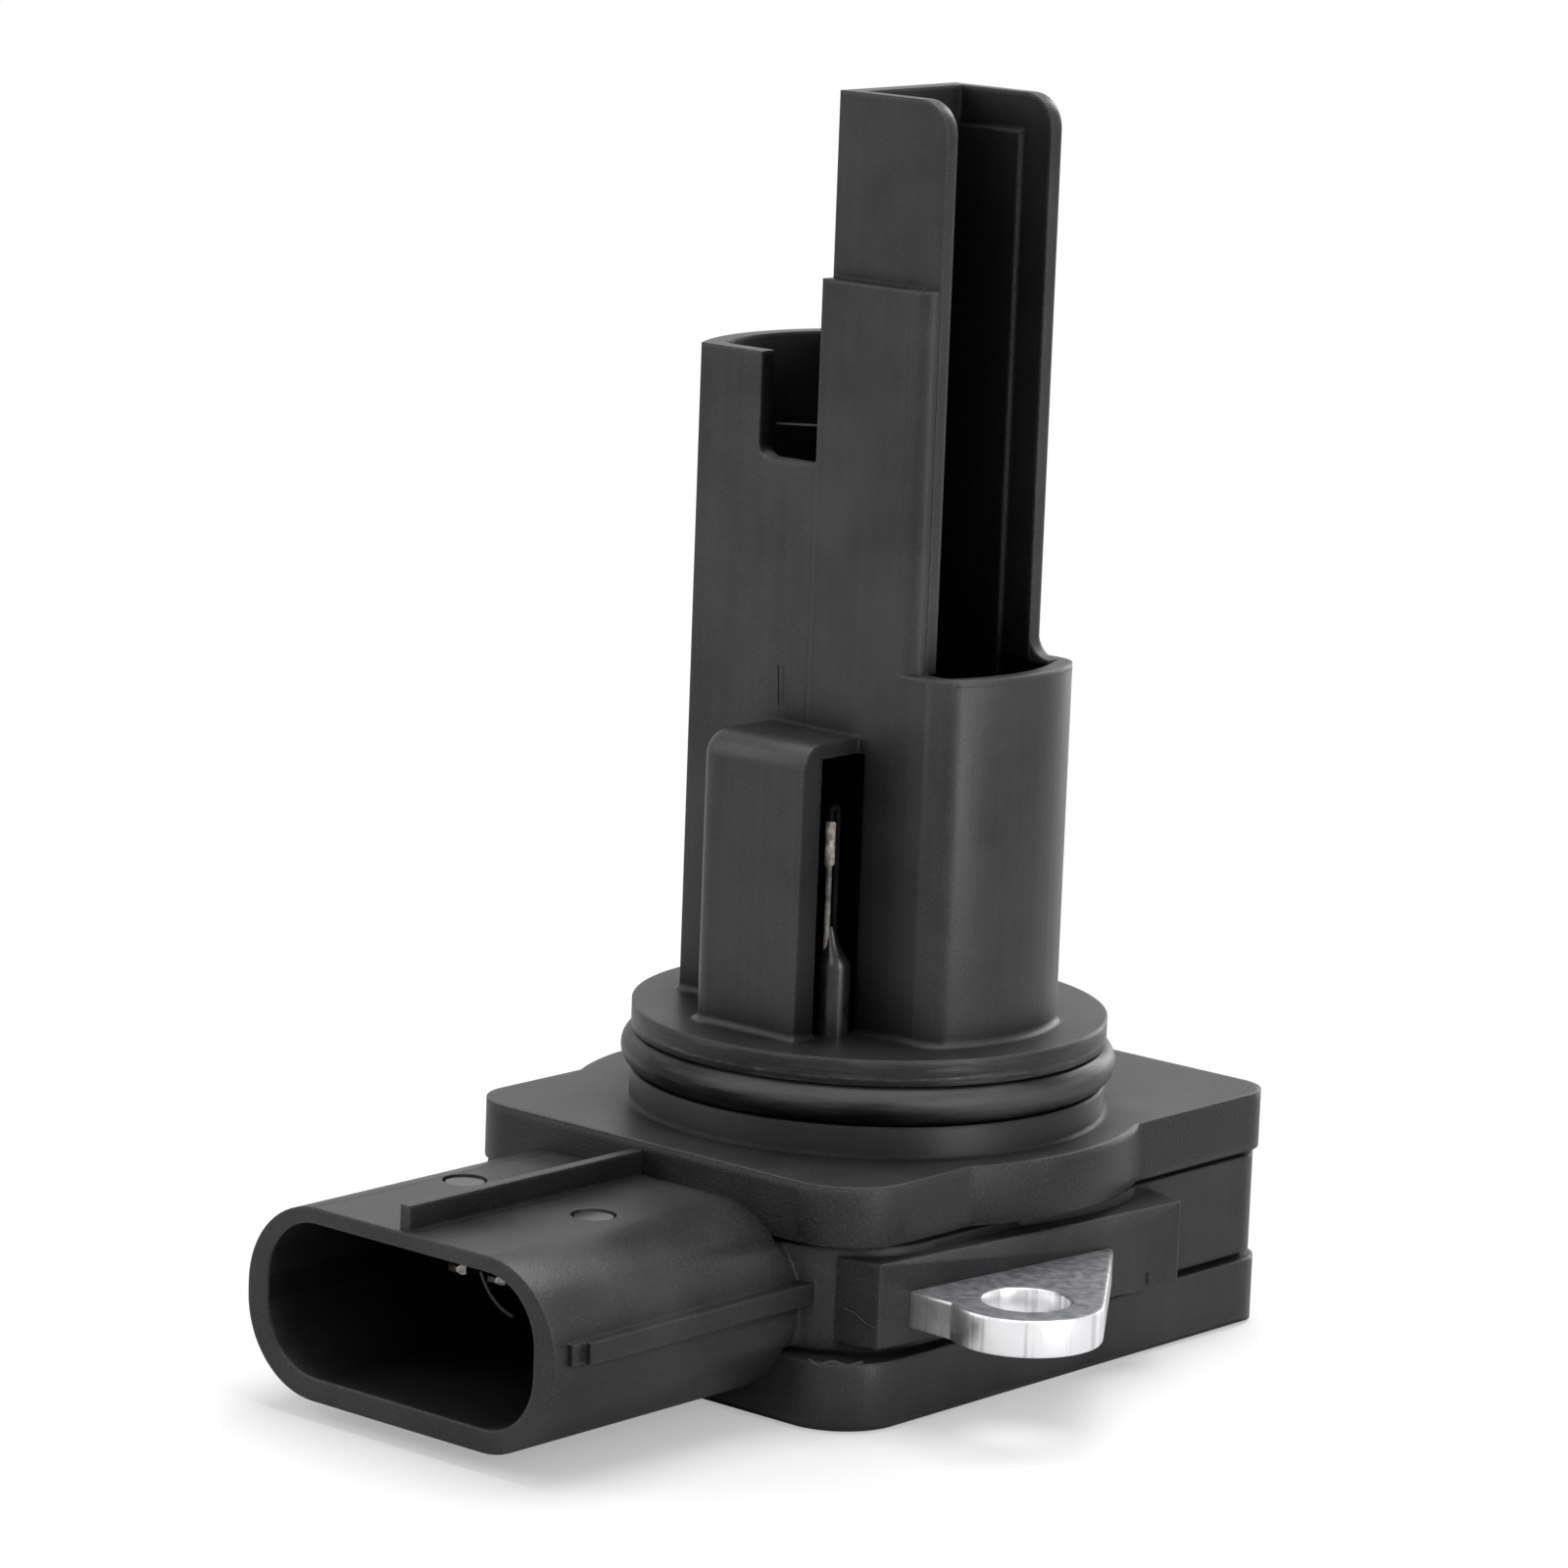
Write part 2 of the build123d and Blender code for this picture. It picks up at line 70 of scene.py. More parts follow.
rolled_up = level_up * math.cos(view_roll) - level_right * math.sin(view_roll)
camera_data = bpy.data.cameras.new("photo_camera")
camera_data.sensor_width = sensor_width
camera_data.lens = lens_length
camera_data.clip_start = 0.01
camera = bpy.data.objects.new("photo_camera", camera_data)
axes = Matrix((rolled_right, rolled_up, -forward)).transposed()
camera.matrix_world = Matrix.Translation(eye) @ axes.to_4x4()
bpy.context.scene.collection.objects.link(camera)
bpy.context.scene.camera = camera

# Upper housing. One moulding in black glass-filled polyester: a flange with a
# spark-eroded grain, a streaky lip over the ring, partly pale from painted sheen, and a smoother
# pillar with faint upright draw lines, all with edges a little pale from rubbing and paler still from a
# painted highlight.
spigot_foot = 14.3 * mm
lip_foot = 18.3 * mm
parting_height = 18.75 * mm
parting_width = 0.16 * mm
lip_top = 19.9 * mm


def finish_for(name):
    """A new material with its node tree and main shader."""
    material = bpy.data.materials.new(name)
    material.use_nodes = True
    tree = material.node_tree
    return material, tree, tree.nodes["Principled BSDF"]


def add_node(tree, kind, **settings):
    """A shader node with its plain settings and socket values."""
    made = tree.nodes.new(kind)
    for key, value in settings.items():
        if hasattr(made, key):
            setattr(made, key, value)
        else:
            made.inputs[key.replace("_", " ").title()].default_value = value
    return made


def stretched(tree, scale):
    """Object coordinates, scaled apart along X, Y and Z."""
    place = add_node(tree, "ShaderNodeTexCoord")
    mapping = add_node(tree, "ShaderNodeMapping")
    mapping.inputs["Scale"].default_value = scale
    tree.links.new(place.outputs["Object"], mapping.inputs["Vector"])
    return mapping.outputs["Vector"]


def speckle(tree, scale=1, detail=2.0, stretch=(1, 1, 1)):
    """Noise at so many cells a metre."""
    noise = add_node(tree, "ShaderNodeTexNoise", scale=scale, detail=detail)
    tree.links.new(stretched(tree, stretch), noise.inputs["Vector"])
    return noise.outputs["Fac"]


def between(tree, value, low, high, start=0.3, end=0.7):
    """A value from low to high, as another runs from start to end."""
    spread = add_node(tree, "ShaderNodeMapRange")
    for key, number in (("From Min", start), ("From Max", end), ("To Min", low), ("To Max", high)):
        spread.inputs[key].default_value = number
    tree.links.new(value, spread.inputs["Value"])
    return spread.outputs["Result"]


def tinted(tree, value, dark, light, start=0.35, end=0.68):
    """A colour from dark to light, as a value runs from start to end."""
    ramp = add_node(tree, "ShaderNodeValToRGB")
    ramp.color_ramp.elements[0].position = start
    ramp.color_ramp.elements[0].color = (*dark, 1)
    ramp.color_ramp.elements[1].position = end
    ramp.color_ramp.elements[1].color = (*light, 1)
    tree.links.new(value, ramp.inputs["Fac"])
    return ramp.outputs["Color"]


def combined(tree, operation, first, second):
    """Two values put together by one sum."""
    made = add_node(tree, "ShaderNodeMath", operation=operation)
    for socket, value in zip(made.inputs, (first, second)):
        if isinstance(value, (int, float)):
            socket.default_value = value
        else:
            tree.links.new(value, socket)
    return made.outputs["Value"]


def bumped(tree, shader, height, depth, base=None):
    """Relief of so many metres on the shader."""
    bump = add_node(tree, "ShaderNodeBump", strength=1.0, distance=depth)
    tree.links.new(height, bump.inputs["Height"])
    if base is not None:
        tree.links.new(base, bump.inputs["Normal"])
    tree.links.new(bump.outputs["Normal"], shader.inputs["Normal"])


def above(tree, height, blur):
    """One above a height in the part's frame, nought below it."""
    place = add_node(tree, "ShaderNodeTexCoord")
    split = add_node(tree, "ShaderNodeSeparateXYZ")
    tree.links.new(place.outputs["Object"], split.inputs["Vector"])
    return between(tree, split.outputs["Z"], 0, 1, start=height - blur, end=height + blur)


def facing_up(tree, start, end):
    """One on faces that look up, nought on upright and lower ones."""
    flat = add_node(tree, "ShaderNodeNewGeometry")
    split = add_node(tree, "ShaderNodeSeparateXYZ")
    tree.links.new(flat.outputs["Normal"], split.inputs["Vector"])
    return between(tree, split.outputs["Z"], 0, 1, start=start, end=end)


def edge_share(tree, rounded):
    """How far the rounded normal turns from the flat one, from nought to one."""
    flat = add_node(tree, "ShaderNodeNewGeometry")
    dot = add_node(tree, "ShaderNodeVectorMath", operation="DOT_PRODUCT")
    tree.links.new(rounded, dot.inputs[0])
    tree.links.new(flat.outputs["Normal"], dot.inputs[1])
    return between(tree, dot.outputs["Value"], 1, 0, start=0.75, end=0.99)


def streaks_and_painted_sheen(tree, low, high):
    """Streaks that run round between two heights, with a ragged parting line: a mask that lightens the
    colour, partly as real streaks and partly as painted sheen and highlight.
    """
    line_blur = 0.06 * mm
    inside = combined(tree, "SUBTRACT", above(tree, low, 0.1 * mm), above(tree, high, 0.05 * mm))
    streaks = speckle(tree, detail=5, stretch=(260, 260, 2600))
    streaks = between(tree, streaks, 0.0, 0.8, start=0.45, end=0.7)
    streaks = combined(tree, "MULTIPLY", streaks, above(tree, lip_foot, 0.2 * mm))
    line_foot = above(tree, parting_height, line_blur)
    line_top = above(tree, parting_height + parting_width, line_blur)
    line = combined(tree, "SUBTRACT", line_foot, line_top)
    gaps = between(tree, speckle(tree, 1500, 4), 0.2, 1.2, start=0.42, end=0.7)
    ragged = combined(tree, "MULTIPLY", line, gaps)
    return combined(tree, "MULTIPLY", inside, combined(tree, "ADD", streaks, ragged))


def moulded_black(name, grain, draw_lines, edge, band=None):
    """Black moulded polyester: grain, draw lines, pale edges that are part wear and part painted
    highlight, painted shade in hollows and on upright faces.
    """
    relief_depth = 0.03 * mm
    hollow_reach = 12.0 * mm
    band_blur = 0.1 * mm
    edge_wear_and_highlight = 1.7
    brightness = 0.4
    material, tree, shader = finish_for(name)
    pits = speckle(tree, 6500, 3)
    lines = speckle(tree, detail=4, stretch=(1500, 1500, 35))
    cloud = speckle(tree, 130, 6)
    pit_share = grain
    upper = 0.0
    if band is not None:
        over_flange = above(tree, band[0], band_blur)
        upper = above(tree, band[1], band_blur)
        pit_share = between(tree, over_flange, grain, grain * 0.3, start=0, end=1)
        lines = combined(tree, "MULTIPLY", lines, upper)
    relief = combined(tree, "MULTIPLY", pits, pit_share)
    relief = combined(tree, "ADD", relief, combined(tree, "MULTIPLY", lines, draw_lines))
    shade = combined(tree, "MULTIPLY", combined(tree, "ADD", pits, cloud), 0.34)
    shade = combined(tree, "ADD", shade, combined(tree, "MULTIPLY", lines, 0.35 * draw_lines))
    grit = between(tree, pits, 0.0, 0.7, start=0.54, end=0.76)
    shade = combined(tree, "ADD", shade, combined(tree, "MULTIPLY", grit, pit_share))
    soft = add_node(tree, "ShaderNodeBevel", samples=4, radius=edge)
    if band is not None:
        # The band lightens the lip: streaks that are partly real and partly painted sheen, and a ragged
        # parting line carrying a painted highlight.
        streaks_and_sheen = streaks_and_painted_sheen(tree, *band)
        relief = combined(tree, "ADD", relief, streaks_and_sheen)
        shade = combined(tree, "ADD", shade, combined(tree, "MULTIPLY", streaks_and_sheen, 1.2))
        edge_radius = between(tree, over_flange, 2.2 * edge, edge, start=0, end=1)
        tree.links.new(edge_radius, soft.inputs["Radius"])
    bumped(tree, shader, relief, relief_depth, soft.outputs["Normal"])
    # Painted shade: colour and shine are darkened in hollows by the part's own ambient occlusion, and
    # upright faces are painted darker than faces that look up.
    hollow = add_node(
        tree, "ShaderNodeAmbientOcclusion", samples=6, distance=hollow_reach, only_local=True
    )
    painted_light_share = between(tree, hollow.outputs["AO"], 0.05, 1.0, start=0.26, end=0.8)
    painted_top_light = combined(tree, "MAXIMUM", facing_up(tree, 0.3, 0.8), combined(tree, "MULTIPLY", upper, 0.3))
    painted_light_share = combined(tree, "MULTIPLY", painted_light_share, between(tree, painted_top_light, 0.76, 1.24, start=0, end=1))
    # Pale edges: partly wear from rubbing, partly a painted highlight that lifts the colour where the
    # rounded normal turns away from the flat one.
    worn_and_highlit_edge = between(tree, pits, 0.1, 1.0)
    worn_and_highlit_edge = combined(tree, "MULTIPLY", edge_share(tree, soft.outputs["Normal"]), worn_and_highlit_edge)
    shade = combined(tree, "ADD", shade, combined(tree, "MULTIPLY", worn_and_highlit_edge, edge_wear_and_highlight))
    shade = combined(tree, "MULTIPLY", combined(tree, "MULTIPLY", shade, painted_light_share), brightness)
    darkest = (0.001, 0.001, 0.0011)
    palest = (0.088, 0.088, 0.09)
    colour = tinted(tree, shade, darkest, palest, start=0.0, end=1.0)
    tree.links.new(colour, shader.inputs["Base Color"])
    tree.links.new(between(tree, cloud, 0.34, 0.48), shader.inputs["Roughness"])
    handled = combined(tree, "MULTIPLY", lines, 0.4 * draw_lines)
    handled = combined(tree, "ADD", handled, cloud)
    handled_start = 0.4 + 0.16 * draw_lines
    handled_end = 0.6 + 0.24 * draw_lines
    handled = between(tree, handled, 0.4, 0.54, start=handled_start, end=handled_end)
    shine = combined(tree, "MULTIPLY", painted_light_share, handled)
    tree.links.new(shine, shader.inputs["Specular IOR Level"])
    return material


def dress(node, material, edge=0.0):
    """Gives a CAD node its finish and, where asked, softened edges."""
    piece = nodes[node]
    for place in piece.material_slots:
        place.material = material
    if edge:
        weld = piece.modifiers.new("joined_faces", "WELD")
        weld.merge_threshold = 0.0005 * mm
        bevel = piece.modifiers.new("softened_edges", "BEVEL")
        bevel.width = edge
        bevel.segments = 2
        bevel.limit_method = "ANGLE"
        bevel.angle_limit = math.radians(40)


housing_finish = moulded_black(
    "flange_and_pillar_black", grain=1.0, draw_lines=0.5, edge=0.35 * mm, band=(spigot_foot, lip_top)
)
dress("upper_housing", housing_finish, 0.12 * mm)


# Near wall of the channel. The raised layer on its outer face runs right to
# the open end and rolls over into it, so a narrow strip of the same plastic
# with a rounded end carries the layer on to there.
def arc(centre, radius, start, end, steps):
    """Points of an arc between two angles in degrees."""
    turns = [math.radians(start + (end - start) * step / steps) for step in range(steps + 1)]
    return [(centre[0] + radius * math.cos(turn), centre[1] + radius * math.sin(turn)) for turn in turns]


def prism(name, outline, low, high, material, along_y=False):
    """Prism between two planes, on an outline in millimetres in x and y, or in x and z."""
    count = len(outline)
    points = [(x * mm, y * mm, z * mm) for z in (low, high) for x, y in outline]
    if along_y:
        points = [(x, z, y) for x, y, z in points]
    faces = [tuple(range(count - 1, -1, -1)), tuple(range(count, 2 * count))]
    faces += [(i, (i + 1) % count, (i + 1) % count + count, i + count) for i in range(count)]
    mesh = bpy.data.meshes.new(name)
    mesh.from_pydata(points, [], faces)
    mesh.materials.append(material)
    piece = bpy.data.objects.new(name, mesh)
    bpy.context.scene.collection.objects.link(piece)
    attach(piece, "root")
    return piece


channel_end = 7.42
skin_left = 5.5
skin_outer = -5.999
skin_inner = -5.05
skin_round = 0.85
skin_low = 41.2
skin_high = 63.24
skin_outline = [(skin_left, skin_inner), (skin_left, skin_outer)]
skin_outline += arc((channel_end - skin_round, skin_outer + skin_round), skin_round, -90, 0, 8)
skin_outline.append((channel_end, skin_inner))
prism("near_wall_skin", skin_outline, skin_low, skin_high, housing_finish)

# Foot of the far wall of the channel, where its end sweeps out onto the rim
# of the round duct in a hollow curve of the same plastic.
foot_sweep = 1.45
foot_left = 7.3
foot_low = 41.1
foot_high = 41.35
foot_near = 4.25
foot_far = 5.07
foot_outline = [(foot_left, foot_low), (foot_left, foot_high + foot_sweep)]
foot_outline += arc((channel_end + foot_sweep, foot_high + foot_sweep), foot_sweep, 180, 270, 8)
foot_outline.append((channel_end + foot_sweep, foot_low))
prism(
    "far_wall_foot", foot_outline, foot_near, foot_far, housing_finish, along_y=True
)

# Small corners of the flange, the body and the cover. The photograph has
# them rounder than the solids, so hidden cutters take each layer's two
# corners back, here and in the sections of the body and the cover.
small_corner_right = (14.472, 21.247)
small_corner_left = (-15.872, -17.687)
flange_top = 14.27
overrun = 1.0


def rounder_corners(node, inset, rounds):
    """Cuts the two small corners of one layer back to larger rounds."""
    low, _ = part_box(node)
    solid = nodes[node]
    for side, corner, full_round in zip((1, -1), (small_corner_right, small_corner_left), rounds):
        past = side * overrun
        radius = side * (full_round - inset)
        edge_x = corner[0] - side * inset
        edge_y = corner[1] - side * inset
        outline = [(edge_x + past, edge_y + past), (edge_x + past, edge_y - radius)]
        outline += arc((edge_x - radius, edge_y - radius), radius, 0, 90, 12)
        outline.append((edge_x - radius, edge_y + past))
        outline.reverse()
        cutter_low = low[2] / mm - overrun
        cutter_high = flange_top + overrun
        cutter = prism(
            f"{node}_cutter", outline, cutter_low, cutter_high, housing_finish
        )
        cutter.hide_render = True
        cut = solid.modifiers.new("rounder_corner", "BOOLEAN")
        cut.operation = "DIFFERENCE"
        cut.solver = "EXACT"
        cut.object = cutter
        # The cut comes after the weld and before the softened edges.
        solid.modifiers.move(len(solid.modifiers) - 1, 1)


rounder_corners("upper_housing", 0.0, rounds=(2.7, 3.2))


# Marks of moulding and handling on the upper housing: a sunk scar over the
# shield, drawn as a thin near-black matte line of painted shade, a bead of flash
# round the rim of the round duct and a thin ledge in the notch.
def flash_line(name, points, radius, material):
    """Thin raised line through points given in millimetres."""
    curve = bpy.data.curves.new(name, "CURVE")
    curve.dimensions = "3D"
    curve.bevel_depth = radius * mm
    curve.bevel_resolution = 2
    curve.use_fill_caps = True
    line = curve.splines.new("POLY")
    line.points.add(len(points) - 1)
    for spot, (x, y, z) in zip(line.points, points):
        spot.co = (x * mm, y * mm, z * mm, 1)
    curve.materials.append(material)
    drawn = bpy.data.objects.new(name, curve)
    bpy.context.scene.collection.objects.link(drawn)
    bpy.context.view_layer.update()
    mesh = bpy.data.meshes.new_from_object(drawn.evaluated_get(bpy.context.evaluated_depsgraph_get()))
    bpy.data.objects.remove(drawn)
    piece = bpy.data.objects.new(name, mesh)
    bpy.context.scene.collection.objects.link(piece)
    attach(piece, "root")


def wavering(points, share, swing):
    """The points moved up and down a little by a fixed wave."""
    moved = []
    for i, (x, y, z) in enumerate(points):
        wave = math.sin(share * i) * math.cos(0.7 * share * i)
        moved.append((x, y, z + swing * wave))
    return moved


# Painted shade: the scar is a raised near-black matte line that stands for the shade in the sunk groove.
scar_shade_finish, _, scar_shader = finish_for("scar_painted_shade")
scar_shader.inputs["Base Color"].default_value = (0.002, 0.002, 0.002, 1)
scar_shader.inputs["Roughness"].default_value = 0.6
scar_shader.inputs["Specular IOR Level"].default_value = 0.1
sink_scar_shade = [(-2.9, -5.99, 40.5), (-2.82, -5.99, 39.4), (-2.76, -5.99, 38.2)]
flash_line("sink_scar_shade", sink_scar_shade, 0.035, scar_shade_finish)
rim_radius = 10.88
rim_height = 41.0
rim_bead = [(7.5, -5.68, rim_height), (8.6, -5.6, rim_height)]
rim_bead += [(x, y, rim_height) for x, y in arc((0, 0), rim_radius, -27, 27, 18)]
rim_bead = wavering(rim_bead, share=2.1, swing=0.03)
flash_line("rim_bead", rim_bead, 0.36, housing_finish)
ledge_y = -4.6
notch_ledge = [(-4.9, ledge_y, 54.25), (-0.7, ledge_y, 54.6)]
flash_line("notch_ledge", notch_ledge, 0.06, housing_finish)

# Middle body. The socket, its rib and rails and the blocks that hold the
# screw ears are one moulding, satin and a little finer in grain than the
# flange, with traces of flash on the side block.
body_inset = 0.3
lower_rounds = (2.7, 2.9)
body_finish = moulded_black("socket_body_black", grain=0.6, draw_lines=0.2, edge=0.3 * mm)
dress("connector_body", body_finish, 0.12 * mm)
rounder_corners("connector_body", body_inset, lower_rounds)
block_flash = [(12.1, -15.8, 7.1), (12.9, -15.65, 6.9), (13.7, -15.5, 6.4), (14.4, -15.33, 6.2)]
flash_line("block_flash", block_flash, 0.06, body_finish)
tick_x = 16.72
block_tick = [(tick_x, 6.3, 6.0), (tick_x, 6.35, 5.3)]
flash_line("block_tick", block_tick, 0.09, body_finish)

# Ejector marks on the socket, polished flat by the pins, and a painted glint:
# a pale grey line along the lower corner at the end of the socket.
pin_finish, _, pin_shader = finish_for("pin_polish")
pin_shader.inputs["Base Color"].default_value = (0.02, 0.02, 0.02, 1)
pin_shader.inputs["Roughness"].default_value = 0.16
mark_y = -26.2
mark_radius = 1.12
mark_low = 12.18
mark_high = 12.24
for side, mark_x in (("left", -7.47), ("right", 2.53)):
    disc = arc((mark_x, mark_y), mark_radius, 0, 345, 23)
    prism(f"ejector_mark_{side}", disc, mark_low, mark_high, pin_finish)
corner_centre = (-8.56, 6.24)
corner_radius = 3.55
corner_y = -20.05
corner_glint_line = [(x, corner_y, z) for x, z in arc(corner_centre, corner_radius, 188, 260, 12)]
# Painted glint: pale grey colour on a thin line inside the black socket.
corner_glint_finish, _, corner_glint_shader = finish_for("socket_corner_painted_glint")
corner_glint_shader.inputs["Base Color"].default_value = (0.45, 0.45, 0.45, 1)
flash_line("socket_corner_glint", corner_glint_line, 0.1, corner_glint_finish)

# Bottom cover. A shallow lid moulded in the same polyester and glued under
# the middle body, with the broken stub of its gate on one edge.
cover_finish = moulded_black("cover_black", grain=0.5, draw_lines=0.25, edge=0.4 * mm)
dress("bottom_cover", cover_finish, 0.1 * mm)
rounder_corners("bottom_cover", 0.0, lower_rounds)
cover_gate = [(11.2, -17.45, 4.1), (11.8, -17.25, 3.85), (12.5, -16.8, 4.15)]
cover_gate += [(13.1, -16.25, 3.9), (13.6, -15.5, 4.1)]
flash_line("cover_gate", cover_gate, 0.14, cover_finish)


# Seals. Cured black silicone squeezed into the two seams and round the
# sensing plate, with a slightly wet shine.
def silicone(name, colour, roughness):
    """Soft cured bead with small lumps."""
    material, tree, shader = finish_for(name)
    lumps = speckle(tree, 700, 3)
    light = tuple(part * 1.5 for part in colour)
    tree.links.new(tinted(tree, lumps, colour, light), shader.inputs["Base Color"])
    tree.links.new(between(tree, lumps, roughness, roughness + 0.15), shader.inputs["Roughness"])
    shader.inputs["Specular IOR Level"].default_value = 0.25
    bumped(tree, shader, lumps, 0.08 * mm)
    return material


seam_finish = silicone("seam_silicone", (0.003, 0.003, 0.003), 0.45)
for seal in ("cover_seal", "flange_seal", "substrate_seal"):
    dress(seal, seam_finish)

# Sealing ring. Nitrile rubber from a two-part mould, lying in the groove of
# the spigot, with oily patches and fine streaks that run round it.
ring_finish, ring_tree, ring_shader = finish_for("ring_rubber")
ring_streaks = speckle(ring_tree, detail=4, stretch=(110, 110, 2400))
ring_cloud = speckle(ring_tree, detail=4, stretch=(90, 90, 700))
ring_colour = tinted(ring_tree, ring_cloud, (0.003, 0.003, 0.003), (0.018, 0.018, 0.019))
ring_tree.links.new(ring_colour, ring_shader.inputs["Base Color"])
ring_patches = between(ring_tree, ring_cloud, 0.16, 0.62, start=0.42, end=0.6)
ring_tree.links.new(ring_patches, ring_shader.inputs["Specular IOR Level"])
ring_gloss = between(ring_tree, ring_cloud, 0.26, 0.6)
ring_tree.links.new(ring_gloss, ring_shader.inputs["Roughness"])
bumped(ring_tree, ring_shader, ring_streaks, 0.05 * mm)
ring_low, ring_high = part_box("o_ring")
ring_section = (ring_high[2] - ring_low[2]) / 2
bpy.ops.mesh.primitive_torus_add(
    major_radius=(ring_high[0] - ring_low[0]) / 2 - ring_section,
    minor_radius=ring_section,
    major_segments=240,
    minor_segments=32,
    location=(0, 0, (ring_low[2] + ring_high[2]) / 2),
)
ring = bpy.context.object
ring.name = "round_ring"
for face in ring.data.polygons:
    face.use_smooth = True
ring.data.materials.append(ring_finish)
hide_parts("o_ring")
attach(ring, "root")

# Mounting plate. Soft aluminium sheet, blanked in a press: a dull mottled
# face with fine scratches and an upright tear pattern on the sheared edge.
plate_finish, plate_tree, plate_shader = finish_for("blanked_aluminium")
plate_top = facing_up(plate_tree, 0.6, 0.9)
plate_side = combined(plate_tree, "SUBTRACT", 1.0, plate_top)
fine_mottle = speckle(plate_tree, 1600, 4)
fine_scratches = speckle(plate_tree, detail=4, stretch=(2200, 500, 500))
sheared_lines = speckle(plate_tree, detail=3, stretch=(1900, 1900, 60))
dents = speckle(plate_tree, 420, 5)
dull_face = combined(plate_tree, "MULTIPLY", plate_top, between(plate_tree, fine_mottle, 0.74, 0.62))
torn = between(plate_tree, sheared_lines, 0.36, 0.0, start=0.3, end=0.46)
torn = combined(plate_tree, "MULTIPLY", torn, plate_side)
plate_bright = combined(plate_tree, "SUBTRACT", 1.0, dull_face)
plate_bright = combined(plate_tree, "SUBTRACT", plate_bright, torn)
dull_grey = (0.16, 0.163, 0.17)
bright_grey = (0.93, 0.93, 0.94)
plate_colour = tinted(plate_tree, plate_bright, dull_grey, bright_grey, start=0.25, end=0.95)
plate_tree.links.new(plate_colour, plate_shader.inputs["Base Color"])
plate_rough = combined(plate_tree, "MULTIPLY", plate_top, 0.26)
plate_rough = combined(plate_tree, "ADD", plate_rough, between(plate_tree, fine_mottle, 0.28, 0.36))
plate_tree.links.new(plate_rough, plate_shader.inputs["Roughness"])
plate_shader.inputs["Metallic"].default_value = 1.0
plate_relief = combined(plate_tree, "MULTIPLY", fine_scratches, 0.25)
for pattern, depth_share in ((sheared_lines, 0.5), (dents, 0.35)):
    share = combined(plate_tree, "MULTIPLY", pattern, depth_share)
    plate_relief = combined(plate_tree, "ADD", plate_relief, share)
plate_edge = add_node(plate_tree, "ShaderNodeBevel", samples=4, radius=0.25 * mm)
bumped(plate_tree, plate_shader, plate_relief, 0.03 * mm, plate_edge.outputs["Normal"])
dress("mounting_plate", plate_finish, 0.15 * mm)

# Terminals. Five flat brass blades under bright tin, coined at the tip and
# held by the moulding at the back of the socket.
tin_finish, tin_tree, tin_shader = finish_for("tinned_brass")
tin_lines = speckle(tin_tree, detail=3, stretch=(3000, 90, 3000))
tin_colour = tinted(tin_tree, tin_lines, (0.3, 0.29, 0.26), (0.6, 0.58, 0.54))
tin_tree.links.new(tin_colour, tin_shader.inputs["Base Color"])
tin_tree.links.new(between(tin_tree, tin_lines, 0.18, 0.34), tin_shader.inputs["Roughness"])
tin_shader.inputs["Metallic"].default_value = 1.0
bumped(tin_tree, tin_shader, tin_lines, 0.01 * mm)
for terminal in sorted(name for name in nodes if name.startswith("terminal_")):
    dress(terminal, tin_finish, 0.06 * mm)


# Circuit board, its components and the alumina sensing plate. The board is
# green coated laminate, bonded to the aluminium plate with white adhesive.
def plain_part(name, dark, light, roughness, scale=1500, shine=0.5):
    """Finish of a small part in one mottled colour."""
    material, tree, shader = finish_for(name)
    mottle = speckle(tree, scale, 3)
    tree.links.new(tinted(tree, mottle, dark, light), shader.inputs["Base Color"])
    tree.links.new(between(tree, mottle, roughness, roughness + 0.12), shader.inputs["Roughness"])
    shader.inputs["Specular IOR Level"].default_value = shine
    bumped(tree, shader, mottle, 0.01 * mm)
    return material


component_finishes = {
    "circuit_board": plain_part("board_green", (0.02, 0.1, 0.04), (0.04, 0.17, 0.07), 0.3),
    "board_adhesive": plain_part("thermal_adhesive", (0.6, 0.6, 0.57), (0.75, 0.75, 0.71), 0.5),
    "control_chip": plain_part("chip_epoxy", (0.015, 0.015, 0.016), (0.03, 0.03, 0.032), 0.5),
    "capacitor_1": plain_part("capacitor_tan", (0.4, 0.3, 0.2), (0.5, 0.4, 0.28), 0.4),
    "resistor_1": plain_part("resistor_glaze", (0.02, 0.02, 0.03), (0.04, 0.04, 0.05), 0.25),
    "sensing_substrate": plain_part("alumina_white", (0.72, 0.71, 0.66), (0.84, 0.83, 0.79), 0.45),
    "sensing_chip": plain_part("silicon_dark", (0.08, 0.09, 0.13), (0.14, 0.15, 0.2), 0.15),
}
component_finishes["capacitor_2"] = component_finishes["capacitor_1"]
component_finishes["resistor_2"] = component_finishes["resistor_1"]
for component, component_finish in component_finishes.items():
    dress(component, component_finish, 0.05 * mm)

# Air temperature sensor. A pale coated bead on one dull lead and one near-black lead
# with almost no shine, and a black sleeve round the foot that narrows and leans as it rises.
bead_finish = plain_part("bead_coating", (0.1, 0.09, 0.07), (0.42, 0.39, 0.33), 0.35, 2500)
dress("thermistor_bead", bead_finish)
near_lead_finish = plain_part("dull_wire", (0.05, 0.048, 0.043), (0.2, 0.19, 0.17), 0.4, 1800)
dress("thermistor_lead_1", near_lead_finish)
far_lead_finish = plain_part(
    "near_black_wire", (0.002, 0.002, 0.002), (0.006, 0.006, 0.006), 0.6, scale=1800, shine=0.05
)
dress("thermistor_lead_2", far_lead_finish)
sleeve_finish = plain_part("sleeve_black", (0.004, 0.004, 0.004), (0.01, 0.01, 0.011), 0.24, 900)
sleeve_low, sleeve_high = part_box("thermistor_sleeve")
